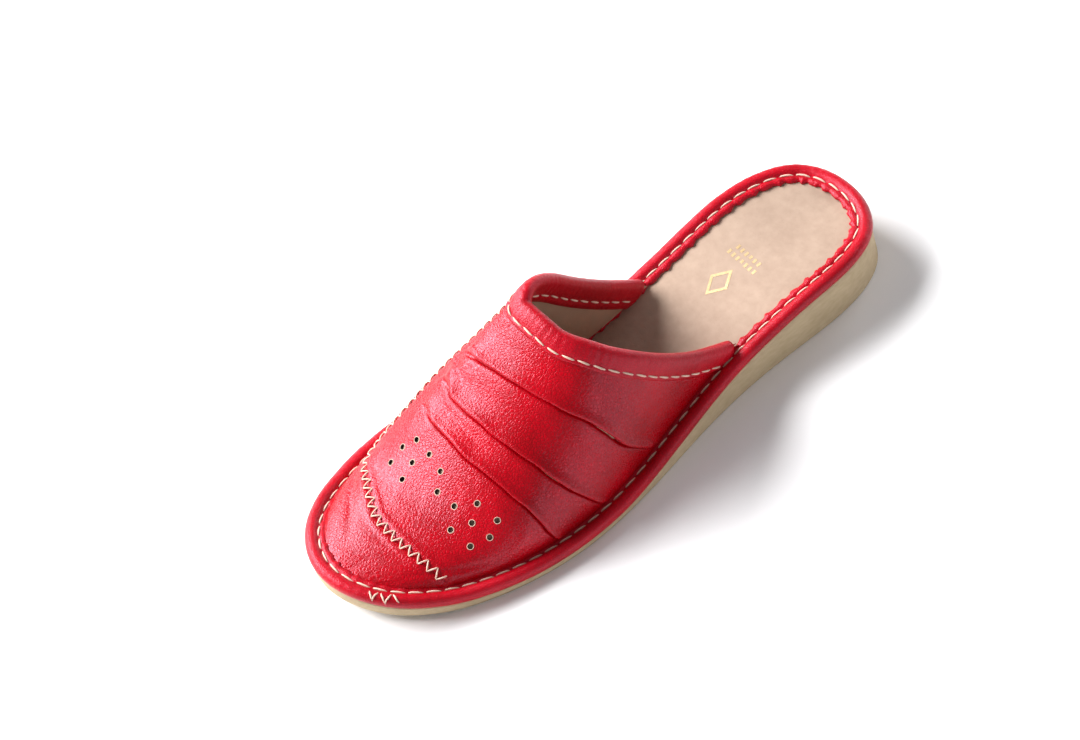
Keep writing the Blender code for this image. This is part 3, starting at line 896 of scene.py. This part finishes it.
def plain_cloth(name, low, high, scale, rough=0.85, bump=0.0002, strength=0.5):
    """Matt surface with fine mottling and small pores."""
    book = Book(name)
    mottle = book.noise(scale, 4.0, 0.6)
    broad = book.noise(45.0, 2.0)
    pores = book.cells(900.0, "F1").step(0.05, 0.22)
    height = mottle * 0.6 + pores * 0.5
    colour = book.mix((mottle * 0.6 + broad * 0.5 - 0.05).clamp() * (pores * 0.25 + 0.75), low, high)
    return book.finish(Base_Color=colour, Roughness=rough, Normal=book.bump(height, strength, bump))


def thread_paint():
    """Cream sewing thread with a fine twist."""
    book = Book("thread")
    twist = book.noise(1800.0, 2.0)
    return book.finish(Base_Color=book.mix(twist, (0.60, 0.38, 0.29), (0.90, 0.68, 0.56)), Roughness=0.7,
                       Normal=book.bump(twist, 0.4, 0.0001))


def foam_paint():
    """Sanded foam: pale, faintly streaked along the sole, with tiny dark pores."""
    book = Book("sole_foam")
    where = book.where()
    stretched = book.node("ShaderNodeVectorMath", {"operation": "MULTIPLY"},
                          {0: where, 1: (1.0, 0.35, 1.0)})
    streak = book.noise(700.0, 3.0, vector=stretched)
    broad = book.noise(60.0, 3.0)
    pores = book.cells(1300.0, "F1").step(0.04, 0.20)
    tone = (streak * 0.5 + broad * 0.45 + 0.02).clamp()
    colour = book.mix(tone * (pores * 0.3 + 0.7), (0.34, 0.245, 0.135), (0.66, 0.53, 0.345))
    normal = book.bump(streak * 0.6 + pores * 0.6, 0.45, 0.00015)
    return book.finish(Base_Color=colour, Roughness=0.78, Normal=normal)


def dull(name, low, high, scale=2500.0, **more):
    """Plain matt paint with a fine mottle, for raw edges, the near-black painted shade inside the holes and
    the foil.
    """
    book = Book(name)
    grain = book.noise(scale, 2.0)
    return book.finish(Base_Color=book.mix(grain, low, high), **{"Roughness": 0.8, **more})


upper_paint = leather("upper_leather", (0.27, 0.0, 0.002), (0.54, 0.0, 0.008), 780.0, 0.18, 0.55)
roll_paint = leather("rand_leather", (0.32, 0.0, 0.004), (0.58, 0.0, 0.012), 1050.0, 0.26, 0.5)
sock_paint = plain_cloth("sock", (0.30, 0.20, 0.145), (0.53, 0.39, 0.30), 260.0)
lining_paint = plain_cloth("lining_leather", (0.38, 0.27, 0.18), (0.60, 0.44, 0.31), 90.0, 0.6)
thread = thread_paint()
foam = foam_paint()
raw = dull("hole_rim", (0.42, 0.24, 0.17), (0.80, 0.60, 0.48))
# Near-black painted shade for the lower walls and floors of the punched holes
dark = dull("painted_hole_shade", (0.012, 0.004, 0.003), (0.03, 0.01, 0.008))
gold = dull("foil", (0.62, 0.42, 0.20), (0.95, 0.72, 0.42), 1400.0, Roughness=0.42, Metallic=0.75)

for thing, paint, slot in (
    (vamp, upper_paint, "upper_leather"),
    (hole_edges_and_shade, raw, "upper_leather"),
    (lining, lining_paint, "sock"),
    (collar, roll_paint, "rand_leather"),
    (collar_thread, thread, "rand_leather"),
    (facing_thread, thread, "rand_leather"),
    (roll, roll_paint, "rand_leather"),
    (edge_thread, thread, "rand_leather"),
    (zigzag, thread, "upper_leather"),
    (joint_zigzag, thread, "rand_leather"),
    (sock, sock_paint, "sock"),
    (wall, foam, "foam"),
    (tread, foam, "foam"),
    (foil, gold, "sock"),
):
    thing.data.materials.append(paint)
    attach(thing, "root")

# Second slot of the hole edges: the near-black painted shade inside each hole
hole_edges_and_shade.data.materials.append(dark)
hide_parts("upper")
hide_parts("collar_binding")
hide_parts("rand")
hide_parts("outsole")
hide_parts("insole")


def studio():
    """White floor, one large light past the big-toe side, weaker ones past the little toe and the heel."""
    bpy.ops.mesh.primitive_plane_add(size=14.0, location=(0.0, 0.0, 0.0))
    floor = bpy.context.object
    floor.name = "studio_floor"
    book = Book("floor_white")
    floor.data.materials.append(book.finish(Base_Color=(0.97, 0.965, 0.98), Roughness=0.8))
    for name, spot, aim, size, tall, power in (
        ("key", (1.30, 0.72, 1.10), (0.0, 0.03, 0.02), 1.6, 0.95, 104.0),
        ("little_toe", (-1.9, -0.3, 0.55), (0.0, 0.0, 0.0), 1.2, 0.7, 6.0),
        ("heel", (0.5, -1.9, 0.8), (0.0, -0.05, 0.0), 1.2, 0.6, 12.0),
    ):
        data = bpy.data.lights.new(name, "AREA")
        data.shape = "RECTANGLE"
        data.size = size
        data.size_y = tall
        data.energy = power
        lamp = bpy.data.objects.new(name, data)
        lamp.location = spot
        direction = Vector(aim) - Vector(spot)
        lamp.rotation_euler = direction.to_track_quat("-Z", "Y").to_euler()
        bpy.context.scene.collection.objects.link(lamp)
    world = bpy.data.worlds.new("room")
    bpy.context.scene.world = world
    world.use_nodes = True
    tree = world.node_tree
    back = tree.nodes["Background"]
    place = tree.nodes.new("ShaderNodeTexCoord")
    split = tree.nodes.new("ShaderNodeSeparateXYZ")
    ramp = tree.nodes.new("ShaderNodeMapRange")
    ramp.inputs[1].default_value = 0.0
    ramp.inputs[2].default_value = 0.40
    ramp.inputs[3].default_value = 0.8
    ramp.inputs[4].default_value = 0.20
    tree.links.new(place.outputs["Generated"], split.inputs[0])
    tree.links.new(split.outputs["Z"], ramp.inputs[0])
    tree.links.new(ramp.outputs[0], back.inputs["Strength"])
    back.inputs["Color"].default_value = (1.0, 1.0, 1.0, 1.0)


# Camera of the photograph: turn and shift from the slipper to the camera in metres, focal length and
# picture width in pixels
CAMERA_TURN = (
    (-0.62905, -0.76600, -0.13239),
    (-0.57642, 0.57391, -0.58170),
    (0.52156, -0.28960, -0.80256),
)
CAMERA_SHIFT = (0.02182, 0.01296, 1.56114)
FOCAL_PIXELS = 4196.5
PICTURE_WIDTH = 1080.0
SENSOR_WIDTH = 36.0


def camera():
    """Camera worked out from the outline of the sole: it looks down from beyond the little toe, rolled as
    the slipper leans in the picture."""
    data = bpy.data.cameras.new("camera")
    data.sensor_width = SENSOR_WIDTH
    data.lens = FOCAL_PIXELS * SENSOR_WIDTH / PICTURE_WIDTH
    data.clip_start = 0.05
    data.clip_end = 30.0
    lens = bpy.data.objects.new("camera", data)
    turn = Matrix(CAMERA_TURN).transposed()
    place = -(turn @ Vector(CAMERA_SHIFT))
    face_forward = Matrix(((1, 0, 0), (0, -1, 0), (0, 0, -1)))
    lens.matrix_world = Matrix.Translation(place) @ (turn @ face_forward).to_4x4()
    bpy.context.scene.collection.objects.link(lens)
    bpy.context.scene.camera = lens


studio()
camera()
bpy.context.scene.view_settings.view_transform = "Standard"
